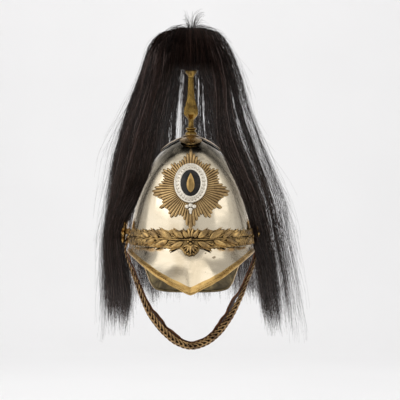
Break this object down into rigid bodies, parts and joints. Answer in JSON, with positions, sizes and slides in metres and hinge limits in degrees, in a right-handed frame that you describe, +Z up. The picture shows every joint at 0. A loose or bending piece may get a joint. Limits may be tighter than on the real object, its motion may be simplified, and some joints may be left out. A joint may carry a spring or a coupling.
{
  "type": "cavalry helmet",
  "caption": "Tall metal cavalry helmet with pointed peak, rayed star badge, leaf band, plaited chin chain and a falling black horsehair plume.",
  "frame": {"origin": "centre of the head opening, level with the brow, where the helmet sits on a head", "axes": "+Z up along the skull and the plume holder, -Y to the front where the peak points, +X to the viewer's right from the front"},
  "size_m": [0.313, 0.3515, 0.5144],
  "materials": {
    "white_metal": "polished with light wear, dull and stained inside",
    "gilt_brass": "worn gilding",
    "silver": "bright, with a beaded face",
    "black_enamel": "glossy",
    "horsehair": "coarse straight strands",
    "brown_leather": "worn and bent"
  },
  "bodies": {
    "root": {"skull": "white_metal", "peak_binding": "gilt_brass", "neck_binding": "gilt_brass", "laurel_band": "gilt_brass", "star_plate": "gilt_brass", "oval_strap": "silver", "enamel_disc": "black_enamel", "leaf_motif": "gilt_brass", "cross_base": "gilt_brass", "plume_spike": "gilt_brass", "rosette_left": "gilt_brass", "rosette_right": "gilt_brass", "chin_chain": "gilt_brass", "chin_leather": "brown_leather", "plume": "horsehair"}
  },
  "joints": []
}
